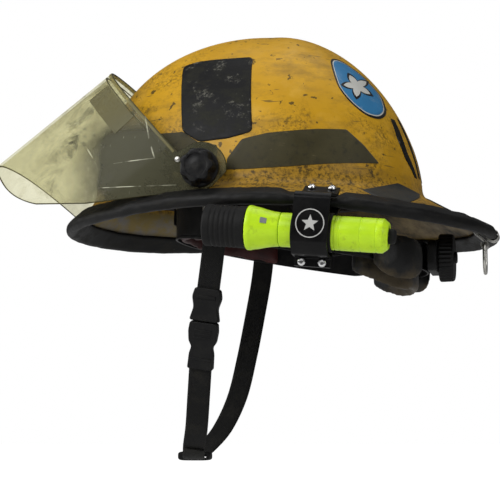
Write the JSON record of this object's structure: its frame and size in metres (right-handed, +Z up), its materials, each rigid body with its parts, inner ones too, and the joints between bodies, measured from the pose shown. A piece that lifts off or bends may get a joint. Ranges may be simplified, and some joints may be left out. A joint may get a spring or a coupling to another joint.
{
  "type": "firefighter helmet",
  "caption": "Brimmed firefighter helmet with flip-up faceshield, clamped helmet light, ratchet headband, chin strap and hanging ring.",
  "frame": {"origin": "centre of the head opening, level with the front edge of the brim", "axes": "-X towards the front (the wearer's face), +X towards the rear, -Y towards the wearer's left, +Z up to the crown"},
  "size_m": [0.4417, 0.3281, 0.3719],
  "materials": {
    "shell_yellow": "worn glossy yellow composite",
    "trim_rubber": "black extruded rubber",
    "liner_foam": "dark foam",
    "worn_reflective": "worn, sooty reflective sheeting",
    "black_patch": "dusty black film",
    "blue_patch": "blue printed film, plain star",
    "shield_plastic": "clear, smoke-stained and scratched",
    "black_plastic": "moulded black nylon",
    "plated_steel": "nickel-plated steel",
    "lime_plastic": "bright lime moulded plastic",
    "lens_plastic": "clear lens",
    "reflector": "mirror-coated",
    "led_board": "white board",
    "battery_wrap": "shrink wrap",
    "black_aluminium": "black anodised sheet",
    "brow_leather": "dark maroon, worn",
    "pad_cloth": "dark quilted cloth",
    "strap_webbing": "black woven webbing",
    "brass": "turned brass"
  },
  "bodies": {
    "helmet": {"shell": "shell_yellow", "edge_trim": "trim_rubber", "trim_clip": "plated_steel", "impact_liner": "liner_foam", "crown_strap_long": "strap_webbing", "crown_strap_cross": "strap_webbing", "crown_pad": "pad_cloth", "headband": "black_plastic", "brow_pad": "brow_leather", "reflective_band_left": "worn_reflective", "reflective_band_right": "worn_reflective", "front_band_left": "worn_reflective", "front_band_right": "worn_reflective", "square_patch_left": "black_patch", "oval_patch_left": "blue_patch", "pivot_spacer_left": "black_plastic", "pivot_spacer_right": "black_plastic", "pivot_bolt_left": "plated_steel", "pivot_bolt_right": "plated_steel", "bracket_outer": "black_aluminium", "bracket_inner": "black_aluminium", "light_sleeve": "trim_rubber", "top_screw_1": "plated_steel", "top_screw_2": "plated_steel", "side_screw_1": "plated_steel", "side_screw_2": "plated_steel", "strap_hanger_left": "plated_steel", "strap_hanger_right": "plated_steel", "strap_rivet_left": "plated_steel", "strap_rivet_right": "plated_steel", "ring_plate": "plated_steel"},
    "shield": {"faceshield": "shield_plastic"},
    "knob_left": {"shield_knob_left": "black_plastic"},
    "knob_right": {"shield_knob_right": "black_plastic"},
    "light": {"light_head": "lime_plastic", "light_body": "lime_plastic", "led_board": "led_board", "battery_front": "battery_wrap", "battery_rear": "battery_wrap", "contact_spring": "plated_steel"},
    "bezel": {"light_bezel": "black_plastic", "light_lens": "lens_plastic", "light_reflector": "reflector"},
    "switch": {"tail_switch": "black_plastic"},
    "nape": {"nape_strap": "black_plastic", "nape_pad": "pad_cloth", "ratchet_housing": "black_plastic"},
    "ratchet": {"ratchet_knob": "black_plastic", "ratchet_shaft": "brass"},
    "chin_strap": {"chin_strap_upper": "strap_webbing", "chin_strap_lower": "strap_webbing", "buckle_socket": "black_plastic", "buckle_insert": "black_plastic", "chin_slider": "black_plastic"},
    "ring": {"hanging_ring": "plated_steel"}
  },
  "joints": [
    {"name": "shield_flip", "type": "hinge", "parent": "helmet", "child": "shield", "pos_m": [-0.0488, 0, 0.0398], "axis": [0, 1, 0], "range_deg": [0, 38]},
    {"name": "knob_left_turn", "type": "hinge", "parent": "helmet", "child": "knob_left", "pos_m": [-0.0488, -0.135, 0.0398], "axis": [0, 1, 0], "range_deg": [-90, 90]},
    {"name": "knob_right_turn", "type": "hinge", "parent": "helmet", "child": "knob_right", "pos_m": [-0.0488, 0.135, 0.0398], "axis": [0, 1, 0], "range_deg": [-90, 90]},
    {"name": "light_slide", "type": "slide", "parent": "helmet", "child": "light", "axis": [-0.9957, 0, 0.0924], "range_m": [0, 0.03]},
    {"name": "bezel_twist", "type": "hinge", "parent": "light", "child": "bezel", "pos_m": [-0.0363, -0.16, -0.01125], "axis": [-0.9957, 0, 0.0924], "range_deg": [0, 60]},
    {"name": "switch_press", "type": "slide", "parent": "light", "child": "switch", "axis": [-0.9957, 0, 0.0924], "range_m": [0, 0.0015], "stiffness_N_per_m": 400},
    {"name": "nape_slide", "type": "slide", "parent": "helmet", "child": "nape", "axis": [1, 0, 0], "range_m": [-0.009, 0.004]},
    {"name": "ratchet_turn", "type": "hinge", "parent": "nape", "child": "ratchet", "pos_m": [0.1305, 0, -0.0225], "axis": [1, 0, 0], "range_deg": [-90, 40]},
    {"name": "chin_strap_swing", "type": "hinge", "parent": "helmet", "child": "chin_strap", "pos_m": [-0.043, 0, -0.004], "axis": [0, 1, 0], "range_deg": [-15, 20]},
    {"name": "ring_swing", "type": "hinge", "parent": "helmet", "child": "ring", "pos_m": [0.169, 0, -0.0123], "axis": [0, 1, 0], "range_deg": [-55, 35]}
  ],
  "couplings": [
    {"joint": "ratchet_turn", "follows": "nape_slide", "rad_per_m": 166.67}
  ]
}
